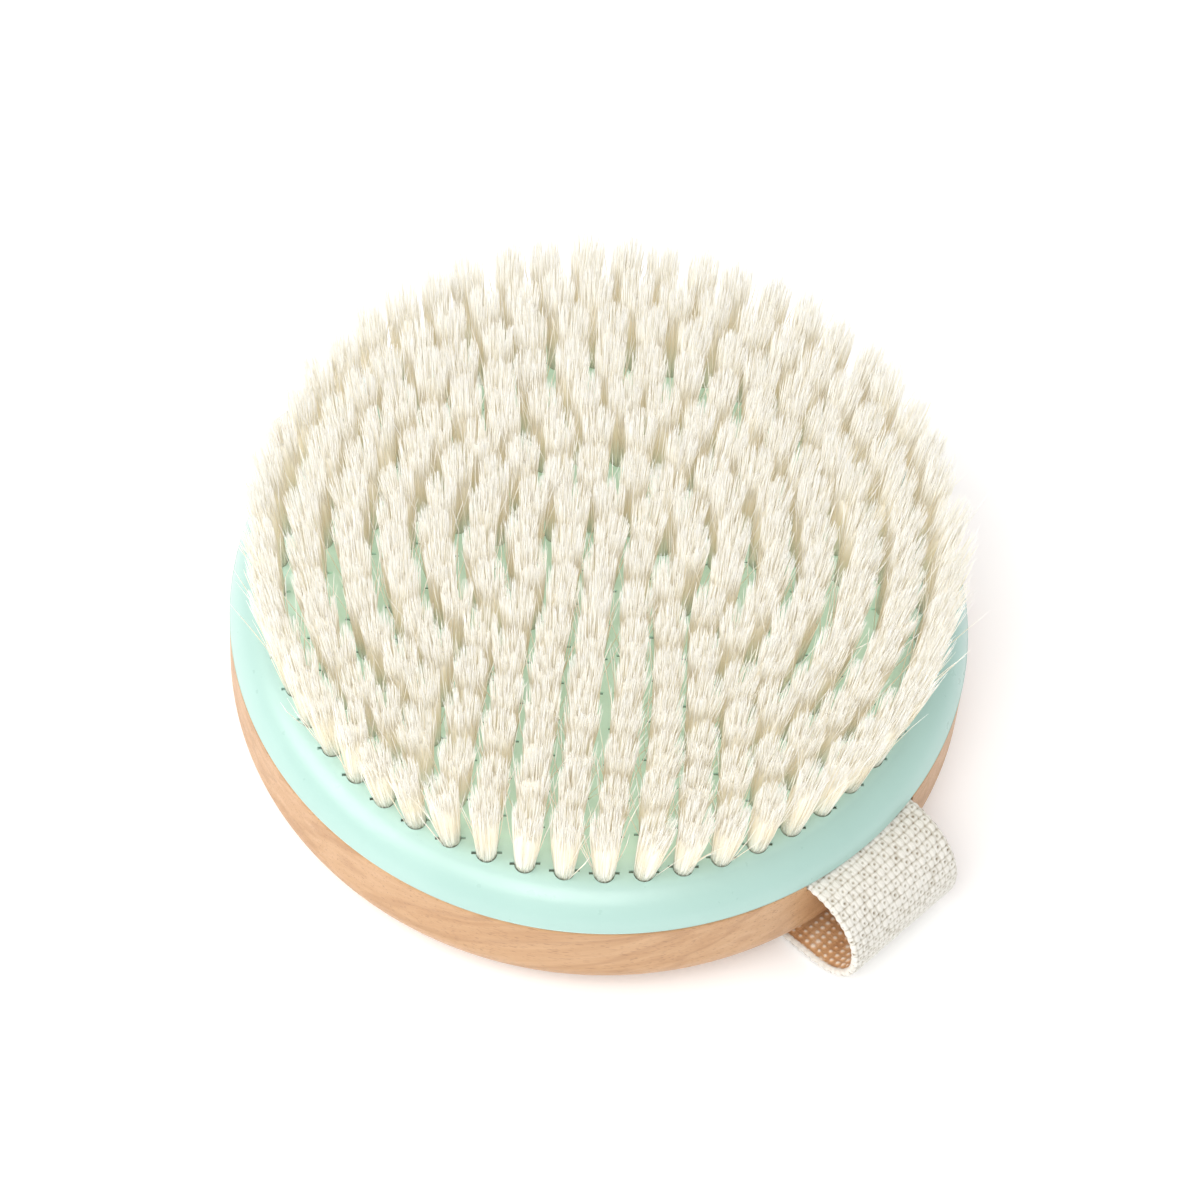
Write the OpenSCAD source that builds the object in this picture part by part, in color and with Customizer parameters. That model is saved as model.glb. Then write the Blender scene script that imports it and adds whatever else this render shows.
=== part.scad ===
// Round body dry brush: a painted bristle plate glued on a wooden back, with a
// webbing hand strap whose ends are clamped in the joint between the two.
// The brush lies on its back, bristles up. Z = 0 is the underside of the strap.

/* [Plate] */
// Diameter of the bristle plate at the joint
plate_d = 125; // [110:1:140]
// Thickness of the bristle plate
plate_h = 6.6; // [6.2:0.1:8]
// Radius of the plate's rounded shoulder
shoulder_r = 8; // [7:0.5:10]
// Distance from the plate's edge to the centres of the outer ring of holes
rim_margin = 7.8; // [7:0.1:10]

/* [Back] */
// Thickness of the wooden back
back_h = 20; // [19:1:24]
// Height of the straight part of the back's side, measured down from the joint
back_wall_h = 11; // [8:0.5:13]

/* [Bristles] */
// Distance between neighbouring tufts in one ring
tuft_pitch = 6.45; // [6.2:0.05:8]
// Length of a tuft above the plate
tuft_len = 21.9; // [15:0.1:30]
// Diameter of a tuft in its hole
tuft_base_d = 3.3; // [2.8:0.1:3.6]
// Diameter of a tuft at its trimmed tip
tuft_tip_d = 5.6; // [4:0.1:5.8]
// Outward lean of the outer ring of tufts, in degrees
outer_lean = 8.5; // [0:0.5:12]
// Depth of the blind holes
hole_depth = 5; // [4:0.1:5.4]
// Direction of the first tuft of each ring, seen from above, in degrees
first_tuft_angle = -51; // [-180:1:180]
// Direction of all the anchor wires, seen from above, in degrees
anchor_angle = 47; // [0:1:90]

/* [Strap] */
// Width of the webbing
strap_w = 25; // [20:1:30]
// Thickness of the webbing
strap_t = 1.6; // [1.2:0.1:2]
// How far the strap's right-hand loop stands out past the plate's edge
strap_bulge = 11; // [10:0.5:12.5]
// How far the left-hand loop, which is pulled tighter, stands out past the plate's edge
strap_bulge_left = 7; // [6.5:0.5:9]
// Length of each strap end clamped in the joint
strap_tab = 17; // [15:1:20]

/* [Hidden] */

$fn = 160;
plate_r = plate_d / 2;
mint = [0.74, 0.91, 0.84];
beech = [0.87, 0.69, 0.53];
ecru = [0.90, 0.88, 0.83];
cream = [0.95, 0.93, 0.87];
steel = [0.62, 0.62, 0.60];
amber = [0.86, 0.80, 0.62];

// Heights from the ground up: webbing, a gap under the back, the back, the glue, the plate
strap_gap = 0.4;
back_z = strap_t + strap_gap;
joint_z = back_z + back_h;
glue_t = 0.15;
plate_z = joint_z + glue_t;
field_z = plate_z + plate_h;

// Small chamfers on both sides of the joint, and the curves of the two turned discs
edge_chamfer = 0.45;
back_round_r = back_h - back_wall_h;
shoulder_drop = plate_h - shoulder_r;
shoulder_x = plate_r - sqrt(pow(shoulder_r, 2) - pow(shoulder_drop, 2));

// Tufts stand in rings round one centre tuft, each set in its hole by a flat wire
ring_total = 8;
ring_step = (plate_r - rim_margin) / ring_total;
lean_power = 1.5;
tuft_fn = 36;
hole_play = 0.1;
anchor_l = 4.2;
anchor_t = 0.45;
anchor_h = 1.5;
anchor_fold = 0.7;
cut_over = 1;

// The strap is flat under the back, rises a little past the back's rounded edge, turns
// upright, and bends over into the joint just past the plate's edge
strap_rise = 6;
strap_low_r = 20;
strap_corner_r = 8.5;
strap_exit = 0.3;
strap_clear = 0.6;
strap_upright = 0.1;
strap_tab_x = plate_r - strap_tab;
bend_steps = 12;
slot_play = 0.2;

// Two staples hold each strap end down on the back
staple_crown = 8;
staple_wire_w = 1.2;
staple_wire_t = 0.6;
staple_leg = 7;
staple_y = 6;
staple_x = strap_tab_x + 5;

function ring_radius(ring) = ring * ring_step;
function ring_count(ring) = floor(2 * PI * ring_radius(ring) / tuft_pitch);
function ring_lean(ring) = outer_lean * pow(ring / ring_total, lean_power);
function arc_points(centre, r, from, to) = [
    for (i = [0:bend_steps])
        let (a = from + (to - from) * i / bend_steps) centre + r * [cos(a), sin(a)]
];
function reversed(points) = [for (i = [len(points) - 1:-1:0]) points[i]];
function mirrored(points) = [for (p = points) [-p.x, p.y]];

// Centres of a loop's three bends, from how far the loop stands out
function top_bend_r(bulge) = bulge - strap_t / 2 - strap_exit;
function top_bend(bulge) = [plate_r + strap_exit, joint_z - strap_t / 2 - top_bend_r(bulge)];
function corner_bend_x(bulge) = plate_r + bulge - strap_t / 2 - strap_corner_r;
function corner_past_edge(bulge) =
    corner_bend_x(bulge) + strap_corner_r * sin(strap_rise) - plate_r + back_round_r;
function corner_clear_z(bulge) =
    back_z + back_round_r + strap_corner_r * cos(strap_rise)
    + tan(strap_rise) * corner_past_edge(bulge)
    - (back_round_r + strap_clear + strap_t / 2) / cos(strap_rise);
function corner_bend(bulge) =
    [corner_bend_x(bulge), min(corner_clear_z(bulge), top_bend(bulge).y - strap_upright)];
function rise_height(bulge) =
    corner_bend(bulge).y - strap_corner_r * cos(strap_rise)
    - strap_t / 2 - strap_low_r * (1 - cos(strap_rise));
function low_bend_x(bulge) =
    corner_bend_x(bulge) + (strap_corner_r - strap_low_r) * sin(strap_rise)
    - rise_height(bulge) / tan(strap_rise);

// One face of one half of the strap, at a distance outside its middle line
function strap_face(outside, bulge) = concat(
    arc_points([low_bend_x(bulge), strap_t / 2 + strap_low_r], strap_low_r + outside, -90, strap_rise - 90),
    arc_points(corner_bend(bulge), strap_corner_r + outside, strap_rise - 90, 0),
    arc_points(top_bend(bulge), top_bend_r(bulge) + outside, 0, 90),
    [[strap_tab_x, joint_z - strap_t / 2 + outside]]
);

// Puts its children at the mouth of one hole, leaning outward, wire direction along X
module at_hole(ring, index) {
    angle = ring == 0 ? 0 : first_tuft_angle + 360 * index / ring_count(ring);
    rotate([0, 0, angle])
        translate([ring_radius(ring), 0, field_z])
            rotate([0, ring_lean(ring), 0])
                rotate([0, 0, anchor_angle - angle])
                    children();
}

module each_hole(ring) {
    count = ring == 0 ? 1 : ring_count(ring);
    for (index = [0:count - 1])
        at_hole(ring, index) children();
}

module anchor_wire(height) {
    translate([-anchor_l / 2, -anchor_t / 2, anchor_fold - hole_depth])
        cube([anchor_l, anchor_t, height]);
}

// Blind hole with the two narrow cuts that the wire leaves in its wall
module hole_cut() {
    translate([0, 0, -hole_depth])
        cylinder(h = hole_depth + cut_over, d = tuft_base_d + hole_play, $fn = tuft_fn);
    anchor_wire(hole_depth - anchor_fold + cut_over);
}

module tuft() {
    difference() {
        union() {
            translate([0, 0, -hole_depth])
                cylinder(h = hole_depth, d = tuft_base_d, $fn = tuft_fn);
            cylinder(h = tuft_len, d1 = tuft_base_d, d2 = tuft_tip_d, $fn = tuft_fn);
        }
        anchor_wire(anchor_h);
    }
}

module tuft_ring(ring) {
    color(cream) each_hole(ring) tuft();
}

module anchor_ring(ring) {
    color(steel) each_hole(ring) anchor_wire(anchor_h);
}

module plate_profile() {
    square([shoulder_x, plate_h]);
    intersection() {
        translate([shoulder_x, shoulder_drop]) circle(r = shoulder_r);
        translate([shoulder_x - 1, 0]) square([shoulder_r + 2, plate_h + 1]);
        polygon([
            [0, 0], [plate_r - edge_chamfer, 0], [plate_r, edge_chamfer],
            [plate_r + 1, plate_h + 1], [0, plate_h + 1]
        ]);
    }
}

module bristle_plate() {
    color(mint)
        difference() {
            translate([0, 0, plate_z]) rotate_extrude() plate_profile();
            for (ring = [0:ring_total]) each_hole(ring) hole_cut();
        }
}

module back_profile() {
    translate([0, back_round_r])
        polygon([
            [0, 0], [plate_r, 0], [plate_r, back_wall_h - edge_chamfer],
            [plate_r - edge_chamfer, back_wall_h], [0, back_wall_h]
        ]);
    square([plate_r - back_round_r, back_round_r]);
    intersection() {
        translate([plate_r - back_round_r, back_round_r]) circle(r = back_round_r);
        translate([plate_r - back_round_r, 0]) square(back_round_r);
    }
}

// Shallow slot in the back's top face that takes one strap end
module strap_slot() {
    slot_w = strap_w + 2 * slot_play;
    translate([strap_tab_x - slot_play, -slot_w / 2, joint_z - strap_t])
        cube([strap_tab + cut_over, slot_w, strap_t + cut_over]);
}

module back_block() {
    color(beech)
        difference() {
            translate([0, 0, back_z]) rotate_extrude() back_profile();
            for (side = [0, 180]) rotate([0, 0, side]) {
                strap_slot();
                staple_pair();
            }
        }
}

module glue_film() {
    color(amber)
        difference() {
            translate([0, 0, joint_z]) cylinder(h = glue_t, r = plate_r - 2 * edge_chamfer);
            for (side = [0, 180]) rotate([0, 0, side]) strap_slot();
        }
}

module hand_strap() {
    outer = strap_face(strap_t / 2, strap_bulge);
    inner = strap_face(-strap_t / 2, strap_bulge);
    outer_left = mirrored(strap_face(strap_t / 2, strap_bulge_left));
    inner_left = mirrored(strap_face(-strap_t / 2, strap_bulge_left));
    color(ecru)
        difference() {
            rotate([90, 0, 0])
                linear_extrude(strap_w, center = true)
                    polygon(concat(outer, reversed(inner), inner_left, reversed(outer_left)));
            for (side = [0, 180]) rotate([0, 0, side]) staple_pair();
        }
}

// A staple whose crown is flush with the strap's upper face
module staple() {
    translate([-staple_wire_w / 2, -staple_crown / 2, joint_z - staple_wire_t])
        cube([staple_wire_w, staple_crown, staple_wire_t]);
    for (end = [-1, 1])
        translate([0, end * (staple_crown - staple_wire_t) / 2, joint_z - staple_leg / 2])
            cube([staple_wire_w, staple_wire_t, staple_leg], center = true);
}

module staple_pair() {
    for (side = [-1, 1])
        translate([staple_x, side * staple_y, 0]) staple();
}

module strap_staples_left() { color(steel) rotate([0, 0, 180]) staple_pair(); }
module strap_staples_right() { color(steel) staple_pair(); }
module tuft_centre() { tuft_ring(0); }
module tuft_ring_1() { tuft_ring(1); }
module tuft_ring_2() { tuft_ring(2); }
module tuft_ring_3() { tuft_ring(3); }
module tuft_ring_4() { tuft_ring(4); }
module tuft_ring_5() { tuft_ring(5); }
module tuft_ring_6() { tuft_ring(6); }
module tuft_ring_7() { tuft_ring(7); }
module tuft_ring_8() { tuft_ring(8); }
module anchor_centre() { anchor_ring(0); }
module anchor_ring_1() { anchor_ring(1); }
module anchor_ring_2() { anchor_ring(2); }
module anchor_ring_3() { anchor_ring(3); }
module anchor_ring_4() { anchor_ring(4); }
module anchor_ring_5() { anchor_ring(5); }
module anchor_ring_6() { anchor_ring(6); }
module anchor_ring_7() { anchor_ring(7); }
module anchor_ring_8() { anchor_ring(8); }

bristle_plate();
back_block();
glue_film();
hand_strap();
strap_staples_left();
strap_staples_right();
tuft_centre();
tuft_ring_1();
tuft_ring_2();
tuft_ring_3();
tuft_ring_4();
tuft_ring_5();
tuft_ring_6();
tuft_ring_7();
tuft_ring_8();
anchor_centre();
anchor_ring_1();
anchor_ring_2();
anchor_ring_3();
anchor_ring_4();
anchor_ring_5();
anchor_ring_6();
anchor_ring_7();
anchor_ring_8();
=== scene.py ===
"""Looks of a round body dry brush.

A lacquered bristle plate with 236 tufts stands on a beech back, and a webbing hand strap is
held in the joint between them. All lengths are in metres.
"""

import math

import bmesh
import bpy
import numpy as np
from mathutils import Matrix, Vector


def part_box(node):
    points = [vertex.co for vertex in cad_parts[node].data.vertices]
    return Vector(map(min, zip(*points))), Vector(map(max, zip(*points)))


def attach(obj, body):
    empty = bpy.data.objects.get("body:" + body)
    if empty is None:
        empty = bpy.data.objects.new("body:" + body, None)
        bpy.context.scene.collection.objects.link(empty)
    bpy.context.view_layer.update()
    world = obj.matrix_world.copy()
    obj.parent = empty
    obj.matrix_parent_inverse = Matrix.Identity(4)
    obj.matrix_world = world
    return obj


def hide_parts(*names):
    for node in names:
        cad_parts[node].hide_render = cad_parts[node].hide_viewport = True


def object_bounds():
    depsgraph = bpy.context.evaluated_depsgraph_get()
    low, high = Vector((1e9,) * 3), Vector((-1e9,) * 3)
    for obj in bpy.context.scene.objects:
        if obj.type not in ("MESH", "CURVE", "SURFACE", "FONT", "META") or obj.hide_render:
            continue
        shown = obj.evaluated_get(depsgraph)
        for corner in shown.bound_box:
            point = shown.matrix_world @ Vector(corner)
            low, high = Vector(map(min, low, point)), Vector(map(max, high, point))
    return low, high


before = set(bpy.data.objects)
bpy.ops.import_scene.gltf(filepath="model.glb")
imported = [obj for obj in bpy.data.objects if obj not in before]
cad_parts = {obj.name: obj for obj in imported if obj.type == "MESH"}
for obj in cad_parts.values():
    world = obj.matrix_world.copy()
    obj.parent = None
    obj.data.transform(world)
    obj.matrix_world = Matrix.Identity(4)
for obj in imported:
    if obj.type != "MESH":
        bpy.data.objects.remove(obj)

cad_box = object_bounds()
scene = bpy.context.scene
rng = np.random.default_rng(4107)

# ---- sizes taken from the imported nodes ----
MM = 0.001
plate_lo, plate_hi = (Vector(v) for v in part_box("bristle_plate"))
back_lo, back_hi = (Vector(v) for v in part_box("back_block"))
strap_lo, strap_hi = (Vector(v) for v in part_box("hand_strap"))
staple_lo = Vector(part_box("strap_staples_right")[0])
PLATE_R = back_hi.x
PLATE_Z = plate_lo.z
FIELD_Z = plate_hi.z
JOINT_Z = back_hi.z
TUFT_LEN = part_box("tuft_centre")[1][2] - FIELD_Z
STRAP_W = strap_hi.y - strap_lo.y

# ---- turned parts ----
LATHE_STEPS = 288
EDGE = 0.45 * MM
SHOULDER_R = 8 * MM
BACK_ROUND_R = 9 * MM

# ---- tuft rings, as the CAD model lays them out; angles in degrees ----
RINGS = 8
RIM_MARGIN = 7.8 * MM
RING_STEP = (PLATE_R - RIM_MARGIN) / RINGS
TUFT_PITCH = 6.45 * MM
TUFT_BASE_R = 1.65 * MM
TUFT_TIP_R = 2.95 * MM
HOLE_R = 1.7 * MM
HOLE_DEPTH = 5 * MM
HOLE_SIDES = 40
FIRST_ANGLE, WIRE_ANGLE, OUTER_LEAN = -51, 47, 8.5
LEAN_POWER = 1.5
# The slit of an anchor wire: along it, across it, and high, with its middle this far up
SLIT = (5.0 * MM, 0.5 * MM, 1.9 * MM)
SLIT_LIFT = 0.35 * MM

# ---- webbing strap; the rise is in degrees ----
STRAP_T = 1.6 * MM
STRAP_RISE = 6
STRAP_LOW_R = 20 * MM
STRAP_CORNER_R = 8.5 * MM
STRAP_EXIT = 0.3 * MM
STRAP_CLEAR = 0.6 * MM
# How far the tab's end and its slot's end lie inside the staples
TAB_PAST_STAPLE = 4.4 * MM
SLOT_PAST_STAPLE = 4.6 * MM
SLOT_LENGTH = 40 * MM
SLOT_HEIGHT = 3.2 * MM
SLOT_PLAY = 0.4 * MM
# Cells of the weave across the strap, with this many faces across and along each
CELLS = 10
GRAIN = 12
ROWS_PER_CELL = 9
CELL = STRAP_W / CELLS
CELL_LENGTH = 1.5 * MM
RELIEF_DEPTH = 0.45 * MM
# The cream selvedges start at this share of the half width
SELVEDGE = 0.95

# ---- bristle tufts ----
STRAND_SHADES = 32
STRANDS = 215
STRAND_R = 0.085 * MM
# Rings of a strand, root to tip: height, as a share of its length, and thickness
LEVELS = np.array([-0.05, 0.33, 0.7, 1.0])
THICK = np.array([1, 1, 0.97, 0.32]) * STRAND_R
BUNDLE_SIDES = 36
# Rings of a bundle, root to tip: height, share of the tuft's radius, jaggedness
BUNDLE_RINGS = np.array([
    (-0.05, 0.93, 0.0), (0.02, 0.93, 0.0), (0.1, 0.97, 0.0), (0.3, 0.97, 0.0),
    (0.45, 0.96, 0.0), (0.54, 0.92, 0.006), (0.6, 0.84, 0.012), (0.64, 0.71, 0.014),
    (0.665, 0.54, 0.012), (0.68, 0.35, 0.01), (0.685, 0.17, 0.008),
])
# The part of the strands' map that root to tip takes up
MAP_LOW, MAP_SPAN = 0.02, 0.96


def hole_frames(ring):
    """Where each hole of a ring is and how it leans, with X along its anchor wire."""
    radius = ring * RING_STEP
    count = 1 if ring == 0 else math.floor(2 * math.pi * radius / TUFT_PITCH)
    lean = math.radians(OUTER_LEAN * (ring / RINGS) ** LEAN_POWER)
    found = []
    for index in range(count):
        turn = 0 if ring == 0 else math.radians(FIRST_ANGLE + 360 * index / count)
        found.append(
            Matrix.Rotation(turn, 4, "Z")
            @ Matrix.Translation((radius, 0, FIELD_Z))
            @ Matrix.Rotation(lean, 4, "Y")
            @ Matrix.Rotation(math.radians(WIRE_ANGLE) - turn, 4, "Z")
        )
    return found


# ---- node helpers ----
class Mat:
    """A material with one Principled shader and short names for the nodes that feed it."""

    def __init__(self, name, **sockets):
        self.m = bpy.data.materials.new(name)
        self.m.use_nodes = True
        self.t = self.m.node_tree
        self.p = next(n for n in self.t.nodes if n.type == "BSDF_PRINCIPLED")
        for key, value in sockets.items():
            self.p.inputs[key.replace("_", " ")].default_value = value

    def feed(self, socket, value):
        """Links a node's output to a socket, or sets a constant there."""
        if isinstance(value, bpy.types.NodeSocket):
            self.t.links.new(value, socket)
        elif socket.type == "RGBA":
            socket.default_value = (*value, 1)
        else:
            socket.default_value = value

    def node(self, kind, inputs=(), **props):
        n = self.t.nodes.new("ShaderNode" + kind)
        for key, value in props.items():
            setattr(n, key, value)
        for key, value in dict(inputs).items():
            self.feed(n.inputs[key], value)
        return n

    def place(self, scale, turn=0.0):
        """Object coordinates in metres, turned about Z and scaled."""
        source = self.node("TexCoord").outputs["Object"]
        spun = self.node("Mapping", {"Vector": source, "Rotation": (0, 0, turn)})
        return self.node("Mapping", {"Vector": spun.outputs[0], "Scale": scale}).outputs[0]

    def noise(self, vector, scale=1.0, detail=3.0, rough=0.55):
        inputs = {"Vector": vector, "Scale": scale, "Detail": detail, "Roughness": rough}
        return self.node("TexNoise", inputs).outputs[0]

    def grain(self, vector, scale, detail=3.0, rough=0.55):
        """Noise with its own scale along each axis, for fibres and yarn."""
        stretched = self.node("Mapping", {"Vector": vector, "Scale": scale}).outputs[0]
        return self.noise(stretched, 1, detail, rough)

    def ramp(self, value, stops):
        n = self.node("ValToRGB", {0: value})
        e = n.color_ramp.elements
        while len(e) < len(stops):
            e.new(0.5)
        for item, (place, colour) in zip(e, stops):
            item.position = place
            item.color = (*colour, 1)
        return n.outputs[0]

    def span(self, value, low, high, to_low, to_high):
        inputs = {"Value": value, "From Min": low, "From Max": high}
        inputs |= {"To Min": to_low, "To Max": to_high}
        return self.node("MapRange", inputs).outputs[0]

    def mix(self, amount, a, b, blend="MIX"):
        inputs = {0: amount, 6: a, 7: b}
        return self.node("Mix", inputs, data_type="RGBA", blend_type=blend).outputs[2]

    def maths(self, kind, a, b=0.0):
        return self.node("Math", {0: a, 1: b}, operation=kind).outputs[0]

    def bump(self, height, distance, strength=1.0, below=None):
        inputs = {"Height": height, "Distance": distance, "Strength": strength}
        if below is not None:
            inputs["Normal"] = below
        return self.node("Bump", inputs).outputs[0]

    def glow(self, colour, amount):
        """A faint glow of the surface's own. On the mint field and the bristles it is painted
        light, for light that comes through from the other side; on the floor it only brightens the
        floor evenly.
        """
        self.feed(self.p.inputs["Emission Color"], colour)
        self.feed(self.p.inputs["Emission Strength"], amount)

    def wear(self, colour, rough=None, normal=None):
        for key, value in (("Base Color", colour), ("Roughness", rough), ("Normal", normal)):
            if value is not None:
                self.feed(self.p.inputs[key], value)
        return self.m


# ---- materials ----
def mint_lacquer():
    m = Mat("mint_lacquer", IOR=1.5, Coat_Weight=0.4, Coat_Roughness=0.3)
    at = m.place((1, 1, 1))
    broad = m.noise(at, 45, 3)
    speck = m.noise(at, 2600, 2, 0.5)
    colour = m.ramp(broad, [(0.3, (0.375, 0.565, 0.51)), (0.7, (0.4, 0.59, 0.535))])
    # Painted light: the field among the bristles is painted paler and greener than the rim and
    # given a faint glow, for light that comes through the bristles
    radius = m.node("VectorMath", {0: m.place((1, 1, 0))}, operation="LENGTH").outputs["Value"]
    among = m.span(radius, 50 * MM, 57.5 * MM, 1.0, 0.0)
    colour = m.mix(among, colour, (0.66, 0.87, 0.74))
    m.glow(m.mix(among, (0.0, 0.0, 0.0), (0.45, 0.66, 0.5)), 0.25)
    colour = m.mix(m.span(speck, 0.62, 0.78, 0, 0.12), colour, (0.47, 0.68, 0.61))
    # Painted shade: deep in the drilled holes and the wires' slits the lacquer is painted dark
    # olive
    height = m.node("SeparateXYZ", {0: at}).outputs[2]
    deep = m.span(height, FIELD_Z - 0.5 * MM, FIELD_Z - 0.28 * MM, 1.0, 0.0)
    painted_hole_shade = m.maths("MULTIPLY", deep, m.span(radius, 56 * MM, 56.5 * MM, 1.0, 0.0))
    colour = m.mix(painted_hole_shade, colour, (0.075, 0.085, 0.04))
    rough = m.span(m.noise(at, 320, 4), 0.3, 0.7, 0.27, 0.36)
    peel = m.bump(m.noise(at, 620, 3, 0.5), 0.06 * MM, 0.5)
    return m.wear(colour, rough, m.bump(speck, 0.02 * MM, 0.4, peel))


def beech_wood():
    m = Mat("beech_wood", IOR=1.5, Coat_Weight=0.15, Coat_Roughness=0.35)
    turn = -math.radians(41)
    at = m.place((1, 1, 1), turn)
    wander = m.noise(m.place((18, 70, 70), turn), 1, 2)
    sway_inputs = {0: wander, 1: (0.0, 4 * MM, 6 * MM)}
    sway = m.node("VectorMath", sway_inputs, operation="MULTIPLY").outputs[0]
    warped = m.node("VectorMath", {0: at, 1: sway}, operation="ADD").outputs[0]
    # The figure runs a little across the turned wall, as the board was not cut along its grain
    slanted = m.node("Mapping", {"Vector": warped, "Rotation": (0, 0.3, 0.1)}).outputs[0]
    figure = m.grain(slanted, (5, 75, 120), 2, 0.5)
    rings = m.grain(slanted, (6, 420, 760), 4, 0.6)
    fibre = m.grain(warped, (130, 2600, 3400), 3, 0.6)
    fleck = m.grain(at, (620, 3000, 4200), 1, 0.4)
    base = m.ramp(
        rings,
        [(0.28, (0.46, 0.25, 0.115)), (0.5, (0.52, 0.295, 0.14)), (0.74, (0.58, 0.345, 0.175))],
    )
    base = m.mix(m.span(figure, 0.42, 0.6, 0.0, 0.45), base, (0.6, 0.37, 0.2))
    growth = m.maths("SINE", m.maths("MULTIPLY", figure, 30.0))
    base = m.mix(m.span(growth, 0.3, 1.0, 0.0, 0.42), base, (0.39, 0.2, 0.085))
    base = m.mix(m.span(fibre, 0.35, 0.75, 0.0, 0.22), base, (0.44, 0.245, 0.115))
    dark = m.span(fleck, 0.63, 0.69, 0.0, 0.6)
    base = m.mix(dark, base, (0.3, 0.145, 0.06))
    rough = m.span(rings, 0.3, 0.7, 0.58, 0.44)
    pores = m.maths("MULTIPLY", dark, -1.0)
    return m.wear(base, rough, m.bump(pores, 0.06 * MM, 0.5, m.bump(fibre, 0.05 * MM, 0.5)))


def bristle():
    """Everything comes from the strands' own map: across is which strand, up is root to tip."""
    m = Mat("bristle", IOR=1.5, Specular_IOR_Level=0.3)
    uv = m.node("UVMap", uv_map="OFBake").outputs[0]
    x, y = m.node("SeparateXYZ", {0: uv}).outputs[:2]
    cell = m.maths("FLOOR", m.maths("MULTIPLY", x, STRAND_SHADES))
    which = m.node("TexWhiteNoise", {"W": cell}, noise_dimensions="1D").outputs[0]
    along = m.ramp(
        y,
        [
            (0.0, (0.93, 0.915, 0.83)),
            (0.14, (0.965, 0.945, 0.87)),
            (0.4, (0.935, 0.89, 0.775)),
            (0.72, (0.965, 0.95, 0.895)),
            (0.95, (0.985, 0.98, 0.96)),
        ],
    )
    tint = m.ramp(
        which,
        [
            (0.0, (0.95, 0.92, 0.83)),
            (0.3, (0.985, 0.97, 0.92)),
            (0.6, (1.0, 0.995, 0.98)),
            (1.0, (1, 1, 1)),
        ],
    )
    streak = m.grain(uv, (STRAND_SHADES * 3, 9, 1))
    colour = m.mix(1.0, along, tint, "MULTIPLY")
    colour = m.mix(m.span(streak, 0.4, 0.75, 0.0, 0.16), colour, (0.89, 0.85, 0.73))
    # Painted light: a faint glow, strongest part way up the strands and weakest at root and tip,
    # for light that comes through the bristles
    through = m.ramp(
        y,
        [
            (0.0, (0.36, 0.34, 0.28)),
            (0.45, (0.9, 0.75, 0.53)),
            (0.75, (0.68, 0.6, 0.47)),
            (1.0, (0.3, 0.28, 0.24)),
        ],
    )
    m.glow(through, 0.12)
    return m.wear(colour, m.span(streak, 0.3, 0.7, 0.4, 0.55))


def webbing(name, stops):
    """Woven cotton: relief is how high each point of the weave stands, kept on the mesh."""
    m = Mat(name, Specular_IOR_Level=0.15, Sheen_Weight=0.25, Sheen_Roughness=0.6)
    relief = m.node("Attribute", attribute_name="relief").outputs["Fac"]
    uv = m.node("UVMap", uv_map="cloth").outputs[0]
    # Colour follows the relief: where the outer face lies low, its dark stops are painted shade in
    # the grooves and pinholes
    colour = m.ramp(relief, stops)
    dim = stops[1][1]
    yarn = m.grain(uv, (110, 760, 1), 3, 0.6)
    fuzz = m.grain(uv, (900, 1500, 1), 3, 0.65)
    colour = m.mix(m.span(yarn, 0.42, 0.8, 0.0, 0.4), colour, dim)
    colour = m.mix(m.span(fuzz, 0.5, 0.75, 0.0, 0.3), colour, tuple(c * 0.85 for c in dim))
    rough = m.span(fuzz, 0.3, 0.7, 0.78, 0.95)
    return m.wear(colour, rough, m.bump(fuzz, 0.12 * MM, 0.6, m.bump(yarn, 0.18 * MM, 0.6)))


def brushed_steel():
    m = Mat("brushed_steel", Metallic=1.0)
    drawn = m.noise(m.place((900, 9000, 9000), -math.radians(WIRE_ANGLE)), 1, 3)
    blot = m.noise(m.place((1, 1, 1)), 700, 3)
    colour = m.ramp(blot, [(0.3, (0.4, 0.39, 0.36)), (0.7, (0.62, 0.61, 0.58))])
    return m.wear(colour, m.span(drawn, 0.3, 0.7, 0.22, 0.45), m.bump(drawn, 0.01 * MM, 0.5))


def dried_glue():
    m = Mat("dried_glue", IOR=1.48)
    at = m.place((1, 1, 1))
    cloud = m.noise(at, 380, 4)
    colour = m.ramp(cloud, [(0.3, (0.2, 0.1, 0.045)), (0.7, (0.42, 0.24, 0.12))])
    rough = m.span(cloud, 0.3, 0.7, 0.25, 0.6)
    return m.wear(colour, rough, m.bump(m.noise(at, 1500, 2), 0.04 * MM, 0.6))


# ---- mesh helpers ----
def piece(name, mesh, slot, *nodes):
    """Makes a mesh the object that stands for these CAD nodes."""
    o = bpy.data.objects.new(name, mesh)
    scene.collection.objects.link(o)
    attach(o, "root")
    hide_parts(*nodes)
    return o


def arc(cx, cz, r, start, end, steps):
    """Points along an arc, from one angle to another, in degrees."""
    turns = [math.radians(start + (end - start) * i / steps) for i in range(steps + 1)]
    return [(cx + r * math.cos(turn), cz + r * math.sin(turn)) for turn in turns]


def circle(r, steps):
    turns = [2 * math.pi * i / steps for i in range(steps)]
    return [(r * math.cos(turn), r * math.sin(turn)) for turn in turns]


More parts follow.
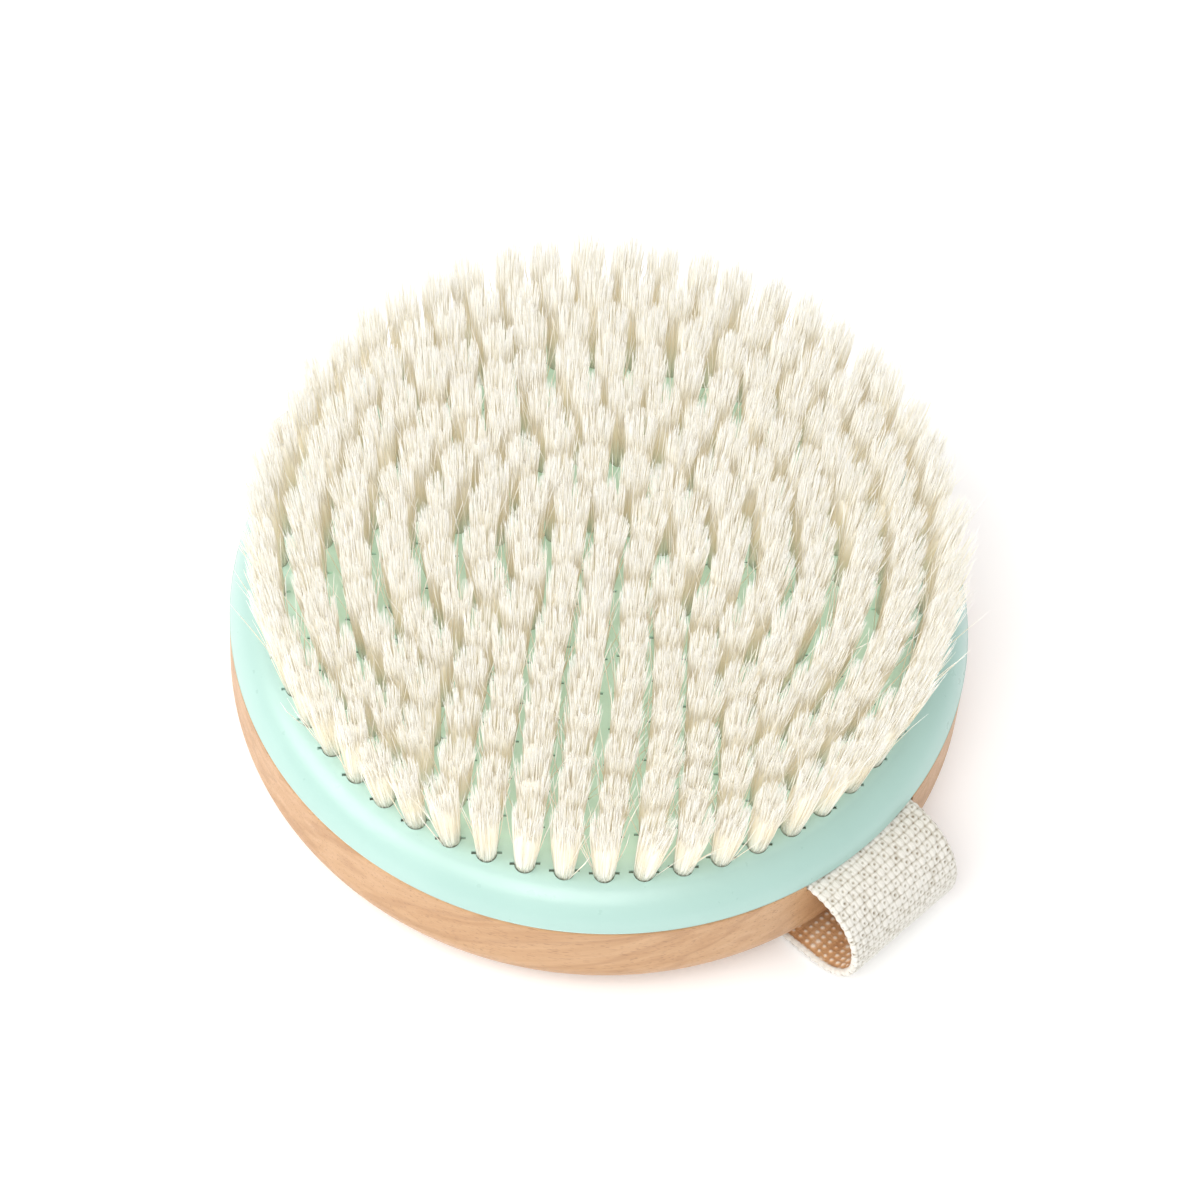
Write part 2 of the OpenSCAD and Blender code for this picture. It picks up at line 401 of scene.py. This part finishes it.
def lathe(name, profile):
    """A closed turned solid. The profile is (radius, height) points from axis to axis."""
    bm = bmesh.new()
    columns = []
    for r, z in profile:
        if r == 0:
            columns.append([bm.verts.new((0, 0, z))] * LATHE_STEPS)
        else:
            columns.append([bm.verts.new((x, y, z)) for x, y in circle(r, LATHE_STEPS)])
    for low, high in zip(columns, columns[1:]):
        for i in range(LATHE_STEPS):
            j = (i + 1) % LATHE_STEPS
            # On the axis two corners are one point, so the face has three
            corners = list(dict.fromkeys((low[i], low[j], high[j], high[i])))
            if len(corners) > 2:
                bm.faces.new(corners)
    bmesh.ops.recalc_face_normals(bm, faces=bm.faces)
    mesh = bpy.data.meshes.new(name)
    bm.to_mesh(mesh)
    bm.free()
    return mesh


def drill(bm, profile, at):
    """Adds a closed round tool to bm, placed by a matrix. The profile is (height, radius)."""
    stack = [
        [bm.verts.new(at @ Vector((x, y, z))) for x, y in circle(r, HOLE_SIDES)]
        for z, r in profile
    ]
    for low, high in zip(stack, stack[1:]):
        for i in range(HOLE_SIDES):
            j = (i + 1) % HOLE_SIDES
            bm.faces.new((low[i], low[j], high[j], high[i]))
    bm.faces.new(stack[0][::-1])
    bm.faces.new(stack[-1])


def block(bm, size, at):
    """Adds a box of this size to bm, placed by a matrix."""
    made = bmesh.ops.create_cube(bm, size=1.0)["verts"]
    bmesh.ops.transform(bm, matrix=at @ Matrix.Diagonal((*size, 1)), verts=made)


def cut(mesh, *cutters):
    """Takes the cutters out of a closed mesh and returns the result."""
    target = bpy.data.objects.new("cut_target", mesh)
    scene.collection.objects.link(target)
    tools = []
    for bm in cutters:
        tool_mesh = bpy.data.meshes.new("cut_tool")
        bm.to_mesh(tool_mesh)
        bm.free()
        tool = bpy.data.objects.new("cut_tool", tool_mesh)
        scene.collection.objects.link(tool)
        tools.append(tool)
        step = target.modifiers.new("cut", "BOOLEAN")
        step.operation = "DIFFERENCE"
        step.solver = "MANIFOLD"
        step.object = tool
    graph = bpy.context.evaluated_depsgraph_get()
    result = bpy.data.meshes.new_from_object(target.evaluated_get(graph))
    result.materials.clear()
    result.polygons.foreach_set("material_index", np.zeros(len(result.polygons), np.int32))
    for o in (target, *tools):
        bpy.data.objects.remove(o)
    return result


def turned_piece(name, mesh, angle, material, slot, node):
    """Makes a cut, turned mesh a piece, smooth apart from edges sharper than the angle."""
    mesh.shade_smooth()
    mesh.set_sharp_from_angle(angle=math.radians(angle))
    mesh.materials.append(MATERIALS[material])
    even = piece(name, mesh, slot, node).modifiers.new("even", "WEIGHTED_NORMAL")
    even.keep_sharp = True


def arrays_to_mesh(name, points, quads, triangles, uv_name, uv):
    """A mesh from numpy arrays. uv has one row per point."""
    mesh = bpy.data.meshes.new(name)
    corners = np.concatenate([quads.ravel(), triangles.ravel()]).astype(np.int32)
    sizes = np.concatenate([np.full(len(quads), 4), np.full(len(triangles), 3)])
    starts = np.concatenate([[0], np.cumsum(sizes)[:-1]]).astype(np.int32)
    mesh.vertices.add(len(points))
    mesh.vertices.foreach_set("co", points.astype(np.float32).ravel())
    mesh.loops.add(len(corners))
    mesh.loops.foreach_set("vertex_index", corners)
    mesh.polygons.add(len(sizes))
    mesh.polygons.foreach_set("loop_start", starts)
    layer = mesh.uv_layers.new(name=uv_name)
    layer.data.foreach_set("uv", uv[corners].astype(np.float32).ravel())
    mesh.update(calc_edges=True)
    mesh.validate()
    mesh.shade_smooth()
    return mesh


# ---- bristle plate and back ----
def plate_piece():
    drop = FIELD_Z - PLATE_Z - SHOULDER_R
    centre_r = PLATE_R - math.sqrt(SHOULDER_R**2 - drop**2)
    start = math.degrees(math.asin((EDGE - drop) / SHOULDER_R))
    profile = [(0, PLATE_Z), (PLATE_R * 0.5, PLATE_Z)]
    profile += arc(PLATE_R - EDGE, PLATE_Z + EDGE, EDGE, -90, -8, 6)
    profile += arc(centre_r, PLATE_Z + drop, SHOULDER_R, start, 90, 22)
    # The field has an edge between each two rings of holes
    profile += [((ring + 0.5) * RING_STEP, FIELD_Z) for ring in range(RINGS - 1, -1, -1)]
    profile += [(0, FIELD_Z)]
    body = lathe("bristle_plate_body", profile)
    holes, slits = bmesh.new(), bmesh.new()
    mouth = [
        (-HOLE_DEPTH, HOLE_R),
        (-0.12 * MM, HOLE_R),
        (-0.03 * MM, HOLE_R + 0.05 * MM),
        (1.2 * MM, HOLE_R + 0.8 * MM),
    ]
    for ring in range(RINGS + 1):
        for at in hole_frames(ring):
            drill(holes, mouth, at)
            block(slits, SLIT, at @ Matrix.Translation((0, 0, SLIT_LIFT)))
    mesh = cut(body, holes, slits)
    turned_piece("turned_bristle_plate", mesh, 32, "mint", "mint_lacquer", "bristle_plate")


def back_piece():
    low = back_lo.z
    profile = [(0, low), (PLATE_R * 0.4, low)]
    profile += arc(PLATE_R - BACK_ROUND_R, low + BACK_ROUND_R, BACK_ROUND_R, -90, 0, 22)
    profile += arc(PLATE_R - EDGE, JOINT_Z - EDGE, EDGE, 0, 90, 5)
    profile += [(PLATE_R * 0.6, JOINT_Z), (0, JOINT_Z)]
    body = lathe("beech_back_body", profile)
    slots = bmesh.new()
    middle_x = staple_lo.x - SLOT_PAST_STAPLE + SLOT_LENGTH / 2
    for side in (1, -1):
        place = Matrix.Translation((side * middle_x, 0, JOINT_Z))
        block(slots, (SLOT_LENGTH, STRAP_W + SLOT_PLAY, SLOT_HEIGHT), place)
    mesh = cut(body, slots)
    turned_piece("turned_beech_back", mesh, 35, "wood", "beech_wood", "back_block")


# ---- webbing strap ----
def strap_half(reach):
    """Middle line of one half of the strap, for a loop that reaches so far from the axis.

    It runs from under the back's middle, round the loop, to the end of the tab.
    """
    rise = math.radians(STRAP_RISE)
    out_x = reach - STRAP_T / 2
    top_x = PLATE_R + STRAP_EXIT
    top_r = out_x - top_x
    corner_x = out_x - STRAP_CORNER_R
    past = corner_x + STRAP_CORNER_R * math.sin(rise) - PLATE_R + BACK_ROUND_R
    clear = (BACK_ROUND_R + STRAP_CLEAR + STRAP_T / 2) / math.cos(rise)
    corner_z = back_lo.z + BACK_ROUND_R + STRAP_CORNER_R * math.cos(rise)
    corner_z += math.tan(rise) * past - clear
    height = corner_z - STRAP_CORNER_R * math.cos(rise) - STRAP_T / 2
    height -= STRAP_LOW_R * (1 - math.cos(rise))
    low_x = corner_x + (STRAP_CORNER_R - STRAP_LOW_R) * math.sin(rise) - height / math.tan(rise)
    half = [(0, STRAP_T / 2)]
    half += arc(low_x, STRAP_T / 2 + STRAP_LOW_R, STRAP_LOW_R, -90, STRAP_RISE - 90, 12)
    half += arc(corner_x, corner_z, STRAP_CORNER_R, STRAP_RISE - 90, 0, 72)
    half += arc(top_x, JOINT_Z - STRAP_T / 2 - top_r, top_r, 0, 90, 90)
    half += [(staple_lo.x - TAB_PAST_STAPLE, JOINT_Z - STRAP_T / 2)]
    return half


def weave(S, T):
    """How high the outer and the inner face stand, from 0 to 1.

    S is the place along the strap in metres, and T across it from -1 to 1.
    """
    # The rows of cells waver a little, as the yarn is thick and soft
    waver = 0.07 * np.sin(S / CELL * 1.7 + T * 2.3) + 0.05 * np.sin(T * 9.1 + S / CELL * 0.6)
    down = S / CELL_LENGTH + waver
    row = np.floor(down).astype(int) + 1
    across = (T + 1) / 2 * CELLS + 0.5 * (row % 2)
    column = np.floor(across).astype(int)
    cs, ct = down % 1 - 0.5, across % 1 - 0.5
    loose = rng.normal(0, 1, (4, row.max() + 2, CELLS + 2))[:, row, column]
    # Every cell is a knot of yarn with a pinhole, and fine grooves part it from the next
    groove = np.clip((np.abs(cs * 2) - 0.4) / 0.6, 0, 1) ** 2
    seam = np.exp(-(((np.abs(ct) - 0.27) / 0.075) ** 2))
    hole_off = np.hypot((cs - 0.04 * loose[0]) * CELL_LENGTH, (ct - 0.04 * loose[1]) * CELL)
    hole_r = hole_off / ((0.26 + 0.03 * loose[2]) * MM)
    hole = (0.82 + 0.1 * loose[1]) * np.exp(-(hole_r**2))
    twist = 0.05 * np.sin(2 * np.pi * (3 * ct + cs)) + 0.05 * loose[3]
    outer = np.clip(0.92 + twist - 0.45 * groove - 0.34 * seam - hole, 0, 1)
    # On the inner face light knots show between rows of brown yarn, two to a cell
    spot_off = np.hypot(cs * CELL_LENGTH, ((across * 2) % 1 - 0.5) * CELL / 2)
    spot_r = spot_off / ((0.36 + 0.04 * loose[2]) * MM)
    inner = np.clip(0.25 + 0.1 * loose[3] + 0.65 * np.exp(-(spot_r**3)), 0, 1)
    return outer, np.where(np.abs(T) < SELVEDGE, inner, 0.85)


def strap_piece():
    left = [(-x, z) for x, z in strap_half(-strap_lo.x)]
    line = np.array(left[:0:-1] + strap_half(strap_hi.x))
    run = np.concatenate([[0], np.cumsum(np.linalg.norm(np.diff(line, axis=0), axis=1))])
    length = float(run[-1])

    def on_line(s, axis):
        return np.interp(s, run, line[:, axis])

    # Fine rows along the two loops, coarser ones under the back and in the joint
    fine = np.arange(0, length, CELL_LENGTH / ROWS_PER_CELL)
    off_axis = np.abs(on_line(fine, 0))
    in_joint = (on_line(fine, 1) > JOINT_Z - 0.9 * MM) & (off_axis < PLATE_R - 2 * MM)
    keep = ((off_axis > 49 * MM) & ~in_joint) | (np.arange(len(fine)) % 3 == 0)
    s = np.concatenate([fine[keep], [length]])
    x, z = on_line(s, 0), on_line(s, 1)
    # The direction is taken over a short stretch, which keeps it smooth where arcs meet
    near = 0.6 * MM
    ahead = np.stack([on_line(s + near, axis) - on_line(s - near, axis) for axis in (0, 1)], 1)
    ahead /= np.linalg.norm(ahead, axis=1)[:, None]
    out = np.stack([ahead[:, 1], -ahead[:, 0]], 1)

    S, T = np.meshgrid(s, np.linspace(-1, 1, CELLS * GRAIN + 1), indexing="ij")
    outer, inner = weave(S, T)
    # The sides wave in and out with the rows, and the faces close up towards them
    edge = np.clip((np.abs(T) - SELVEDGE) / (1 - SELVEDGE), 0, 1)
    wave = 0.5 + 0.5 * np.cos(2 * np.pi * S / CELL_LENGTH)
    y = T * (STRAP_W / 2 - 0.06 * MM - 0.16 * MM * wave)
    close = np.sqrt(np.clip(1 - 0.85 * edge**2, 0, 1))
    faces = []
    for side, relief in ((1, outer), (-1, inner)):
        offset = side * (STRAP_T / 2 - (1 - relief) * RELIEF_DEPTH) * close
        off_x, off_z = out[:, :1] * offset, out[:, 1:] * offset
        faces.append(np.stack([x[:, None] + off_x, y, z[:, None] + off_z], -1))
    points = np.concatenate([face.reshape(-1, 3) for face in faces])

    front = np.arange(S.size).reshape(S.shape)
    back = front + S.size
    parts = [
        np.stack([front[:-1, :-1], front[1:, :-1], front[1:, 1:], front[:-1, 1:]], -1),
        np.stack([back[:-1, :-1], back[:-1, 1:], back[1:, 1:], back[1:, :-1]], -1),
        np.stack([front[:-1, 0], back[:-1, 0], back[1:, 0], front[1:, 0]], -1),
        np.stack([front[:-1, -1], front[1:, -1], back[1:, -1], back[:-1, -1]], -1),
        np.stack([front[0, :-1], front[0, 1:], back[0, 1:], back[0, :-1]], -1),
        np.stack([front[-1, :-1], back[-1, :-1], back[-1, 1:], front[-1, 1:]], -1),
    ]
    quads = np.concatenate([part.reshape(-1, 4) for part in parts])
    along = np.stack([(S / length).ravel(), ((T + 1) / 2 * STRAP_W / length).ravel()], 1)
    cloth = np.concatenate([along] * 2)
    no_triangles = np.zeros((0, 3), int)
    mesh = arrays_to_mesh("woven_hand_strap", points, quads, no_triangles, "cloth", cloth)
    heights = np.concatenate([outer.ravel(), inner.ravel()]).astype(np.float32)
    mesh.attributes.new("relief", "FLOAT", "POINT").data.foreach_set("value", heights)
    mesh.materials.append(MATERIALS["strap_outer"])
    mesh.materials.append(MATERIALS["strap_inner"])
    # The inner face is of the brown yarn, inside the cream selvedges
    brown = np.abs((T[:-1, :-1] + T[1:, 1:]) / 2) < SELVEDGE
    which = np.zeros(len(mesh.polygons), np.int32)
    which[brown.size : 2 * brown.size] = brown.ravel()
    mesh.polygons.foreach_set("material_index", which)
    o = piece("woven_hand_strap", mesh, "webbing", "hand_strap")


# ---- bristle tufts ----
def opening(h):
    """How far a bundle has opened from its root, 0, to its tip, 1."""
    return np.clip(h, 0, 1) ** 0.97


def tuft_parts(count):
    """One tuft in its hole's own frame: its strands' middle lines, and its bundle's rings."""
    reach = TUFT_LEN * (1 + rng.normal(0, 0.014))
    flare = TUFT_TIP_R / TUFT_BASE_R * (1 + rng.normal(0, 0.06))
    # Three strands in ten stand on the bundle's surface, and the others all through it
    on_skin = rng.random(count) < 0.3
    root_r = np.where(on_skin, rng.uniform(0.9, 0.97, count), rng.random(count) ** 0.5)
    root_a = rng.random(count) * 2 * np.pi
    root = np.stack([root_r * np.cos(root_a), root_r * np.sin(root_a)], 1) * TUFT_BASE_R
    # A folded bundle opens away from its wire, more in some tufts than in others
    split = abs(rng.normal(0, 0.22)) if rng.random() < 0.65 else rng.uniform(0.45, 0.85)
    side = np.where(root[:, 1] + rng.normal(0, 0.2 * MM, count) > 0, 1.0, -1.0)
    tip = root * flare
    tip[:, 1] += side * split * MM
    tip += rng.normal(0, 0.22 * MM, (count, 2))
    # Neighbouring tips cling together in small points
    points = rng.integers(6, 11)
    seed_r, seed_a = np.sqrt(rng.random(points)) * 0.85, rng.random(points) * 2 * np.pi
    seeds = np.stack([seed_r * np.cos(seed_a), seed_r * np.sin(seed_a)], 1) * TUFT_TIP_R
    nearest = np.argmin(((tip[:, None] - seeds[None]) ** 2).sum(-1), 1)
    tip = tip + (seeds[nearest] - tip) * rng.uniform(0.0, 0.4, count)[:, None]
    lean = rng.normal(0, 0.42 * MM, 2)
    tip += lean
    bend = rng.normal(0, 0.16 * MM, (count, 2))
    # A few strands stray well away from the others
    stray = rng.random(count) < 0.075
    tip[stray] += rng.normal(0, 1.9 * MM, (stray.sum(), 2))
    bend[stray] += rng.normal(0, 0.3 * MM, (stray.sum(), 2))
    shorter = np.abs(rng.normal(0, 0.05, count)) + 0.07 * root_r**3 * rng.random(count)
    long = reach * (1 - shorter)
    h = LEVELS[None, :, None]
    grow = np.clip(h, 0, 1)
    bow = bend[:, None] * 4 * grow * (1 - grow)
    flat = root[:, None] + (tip - root)[:, None] * opening(h) + bow
    lines = np.concatenate([flat, long[:, None, None] * h], 2)

    level, share, jag = BUNDLE_RINGS.T[:, :, None]
    turn = np.arange(BUNDLE_SIDES) * 2 * np.pi / BUNDLE_SIDES
    ring = np.stack([np.cos(turn), np.sin(turn)], 1)
    # Flutes like strands run up the side, and lumps like clinging tips break up the crown
    flute = 1 + rng.normal(0, 0.035, (1, BUNDLE_SIDES)) * np.clip(0.35 + level, 0, 1)
    lump = 1 + 0.05 * np.sin(3 * turn + rng.uniform(0, 6.3)) * np.clip(level, 0, 1)
    lump += 0.04 * np.sin(7 * turn + rng.uniform(0, 6.3)) * np.clip(level, 0, 1)
    open_r = TUFT_BASE_R * (1 + (flare - 1) * opening(level)) * share * flute * lump
    body = ring[None] * open_r[..., None]
    body[:, :, 1] += np.tanh(ring[None, :, 1] * 2) * split * 0.6 * MM * opening(level) * share
    body += lean * opening(level)[..., None]
    points_up = np.abs(np.sin(turn * 5.5 + rng.uniform(0, 6.3)))[None] * 0.5
    tall = level + jag * (rng.normal(0, 1, (len(level), BUNDLE_SIDES)) + points_up)
    return lines, np.concatenate([body, (reach * tall)[..., None]], 2)


def tube_faces(sides, rows):
    """The four corners of each face of a tube of rings, numbered ring after ring."""
    k, l = np.meshgrid(np.arange(sides), np.arange(rows - 1), indexing="ij")
    a, b = l * sides + k, l * sides + (k + 1) % sides
    return np.stack([a, b, b + sides, a + sides], -1).reshape(1, -1, 4)


def strand_arrays(lines, axes):
    """Points, quads, triangles and map of three-sided strands, closed at both ends."""
    count, levels = lines.shape[:2]
    radii = THICK[None] * (1 + rng.normal(0, 0.15, count))[:, None]
    turn = rng.random(count)[:, None] * 2 * np.pi + np.arange(3)[None] * 2 * np.pi / 3
    cross = np.cos(turn)[..., None] * axes[:, None, 0] + np.sin(turn)[..., None] * axes[:, None, 1]
    points = lines[:, :, None] + radii[:, :, None, None] * cross[:, None]
    first = np.arange(count)[:, None, None] * levels * 3
    top = (levels - 1) * 3
    quads = (first + tube_faces(3, levels)).reshape(-1, 4)
    triangles = (first + np.array([[[0, 2, 1], [top, top + 1, top + 2]]])).reshape(-1, 3)
    # A strand keeps to its own narrow column of the map, so one baked picture serves them all
    column = rng.integers(0, STRAND_SHADES, count)
    u = (column[:, None, None] + np.array([0.2, 0.5, 0.8])) / STRAND_SHADES
    v = MAP_LOW + MAP_SPAN * np.clip(LEVELS, 0, 1)[None, :, None] + np.array([0.0, 0.004, 0.0])
    uv = np.stack(np.broadcast_arrays(u, v), -1).reshape(-1, 2)
    return points.reshape(-1, 3), quads, triangles, uv


def bundle_arrays(bodies):
    """The same for bundles: rings of points, closed at both ends by a point on the axis."""
    tufts, rows, sides = bodies.shape[:3]
    middle = bodies.mean(2)
    points = np.concatenate([bodies.reshape(tufts, -1, 3), middle[:, :1], middle[:, -1:]], 1)
    first = np.arange(tufts)[:, None, None] * (rows * sides + 2)
    quads = (first + tube_faces(sides, rows)).reshape(-1, 4)
    k = np.arange(sides)
    end = (rows - 1) * sides
    low_cap = np.stack([(k + 1) % sides, k, np.full(sides, rows * sides)], -1)
    high_cap = np.stack([end + k, end + (k + 1) % sides, np.full(sides, rows * sides + 1)], -1)
    triangles = (first + np.concatenate([low_cap, high_cap])[None]).reshape(-1, 3)
    # Mirrored half way round, so the map has no jump where the bundle closes
    fold = 1 - np.abs(1 - 2 * k / sides)
    u = np.concatenate([np.tile(MAP_LOW + MAP_SPAN * fold, rows), [0.5, 0.5]])
    v = np.repeat(MAP_LOW + MAP_SPAN * np.clip(BUNDLE_RINGS[:, 0], 0, 1), sides)
    v = np.concatenate([v, [0.01, 0.98]])
    return points.reshape(-1, 3), quads, triangles, np.tile(np.stack([u, v], -1), (tufts, 1))


def tuft_piece(ring):
    """One ring of tufts as a mesh: loose strands on bundles."""
    lines, axes, bodies = [], [], []
    for at in hole_frames(ring):
        count = int(STRANDS * rng.uniform(0.94, 1.04))
        m = np.array(at)
        line, body = tuft_parts(count)
        lines.append(line @ m[:3, :3].T + m[:3, 3])
        axes.append(np.broadcast_to(m[:3, :2].T, (count, 2, 3)))
        bodies.append(body @ m[:3, :3].T + m[:3, 3])
    strands = strand_arrays(np.concatenate(lines), np.concatenate(axes))
    bundles = bundle_arrays(np.array(bodies))
    shift = len(strands[0])
    points = np.concatenate([strands[0], bundles[0]])
    quads = np.concatenate([strands[1], bundles[1] + shift])
    triangles = np.concatenate([strands[2], bundles[2] + shift])
    uv = np.concatenate([strands[3], bundles[3]])
    name = "bristles_centre" if ring == 0 else f"bristles_ring_{ring}"
    mesh = arrays_to_mesh(name, points, quads, triangles, "OFBake", uv)
    mesh.materials.append(MATERIALS["bristle"])
    piece(name, mesh, "bristle", "tuft_centre" if ring == 0 else f"tuft_ring_{ring}")


# ---- the brush ----
# Colours by relief, low to high; the outer face's dark low stops are painted shade in its grooves
# and pinholes
OUTER_YARN_AND_SHADE = [(0.1, (0.19, 0.13, 0.065)), (0.45, (0.53, 0.49, 0.41)), (0.79, (0.81, 0.785, 0.725))]
INNER_YARN = [(0.15, (0.55, 0.29, 0.13)), (0.42, (0.7, 0.42, 0.21)), (0.8, (0.93, 0.83, 0.7))]
MATERIALS = {
    "mint": mint_lacquer(),
    "wood": beech_wood(),
    "bristle": bristle(),
    "strap_outer": webbing("webbing_outer", OUTER_YARN_AND_SHADE),
    "strap_inner": webbing("webbing_inner", INNER_YARN),
    "steel": brushed_steel(),
    "glue": dried_glue(),
}

plate_piece()
back_piece()
strap_piece()
for ring in range(RINGS + 1):
    tuft_piece(ring)

# The wires, staples and glue keep their CAD meshes and only take a material
for name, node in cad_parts.items():
    if name.startswith("anchor_") or name.startswith("strap_staples"):
        kind = "steel"
    elif name == "glue_film":
        kind = "glue"
    else:
        continue
    for slot in node.material_slots:
        slot.link = "OBJECT"
        slot.material = MATERIALS[kind]

# ---- floor, light and camera ----
AZIMUTH, ELEVATION, ROLL = math.radians(41), math.radians(56.7), math.radians(5.25)
CAMERA_DISTANCE = 13 * PLATE_R
LENS, SENSOR = 144, 36
# Shifts in pixels of a picture 1200 wide
SHIFT_X, SHIFT_Y = 0.2 / 1200, 13 / 1200
FLOOR_HALF = 3.0
FLOOR_GAP = 0.2 * MM
focus = Vector((0, 0, JOINT_Z))
toward = Vector((math.sin(AZIMUTH), -math.cos(AZIMUTH), 0))
across = Vector((math.cos(AZIMUTH), math.sin(AZIMUTH), 0))


def floor():
    m = Mat("studio_floor", Roughness=0.9)
    cloud = m.noise(m.place((1, 1, 1)), 9, 2)
    colour = m.ramp(cloud, [(0.3, (0.93, 0.93, 0.93)), (0.7, (0.95, 0.95, 0.95))])
    m.glow(colour, 0.12)
    bm = bmesh.new()
    bmesh.ops.create_grid(bm, x_segments=8, y_segments=8, size=FLOOR_HALF)
    mesh = bpy.data.meshes.new("studio_floor")
    bm.to_mesh(mesh)
    bm.free()
    mesh.materials.append(m.wear(colour))
    o = bpy.data.objects.new("studio_floor", mesh)
    o.location.z = cad_box[0][2] - FLOOR_GAP
    scene.collection.objects.link(o)


def softbox(name, place, size, power, colour=(1, 1, 1)):
    """A rectangular light at a place measured from the focus, turned towards it."""
    data = bpy.data.lights.new(name, "AREA")
    data.shape = "RECTANGLE"
    data.size, data.size_y = size
    data.energy = power
    data.color = colour
    o = bpy.data.objects.new(name, data)
    o.location = focus + place
    o.rotation_euler = (-place).to_track_quat("-Z", "Y").to_euler()
    scene.collection.objects.link(o)


def studio():
    world = bpy.data.worlds.new("studio")
    scene.world = world
    world.use_nodes = True
    sky = next(n for n in world.node_tree.nodes if n.type == "BACKGROUND")
    sky.inputs["Color"].default_value = (1, 1, 1, 1)
    sky.inputs["Strength"].default_value = 0.7
    up = Vector((0, 0, 1))
    key = -across * 0.95 + toward * 0.25 + up * 0.95
    softbox("key", key, (0.9, 0.7), 9, (1, 0.995, 0.98))
    # Light from the camera's side reaches down between the tufts
    softbox("front", toward * 0.8 - across * 0.1 + up * 1.25, (0.8, 0.8), 9)
    softbox("top", up * 1.5, (1.4, 1.4), 3)


def camera():
    data = bpy.data.cameras.new("camera")
    data.lens, data.sensor_width = LENS, SENSOR
    data.shift_x, data.shift_y = SHIFT_X, SHIFT_Y
    data.clip_start = 10 * MM
    o = bpy.data.objects.new("camera", data)
    direction = toward * math.cos(ELEVATION) + Vector((0, 0, math.sin(ELEVATION)))
    o.location = focus + direction * CAMERA_DISTANCE
    turn = (-direction).to_track_quat("-Z", "Y").to_matrix() @ Matrix.Rotation(ROLL, 3, "Z")
    o.rotation_euler = turn.to_euler()
    scene.collection.objects.link(o)
    scene.camera = o


floor()
studio()
camera()
scene.view_settings.view_transform = "Standard"
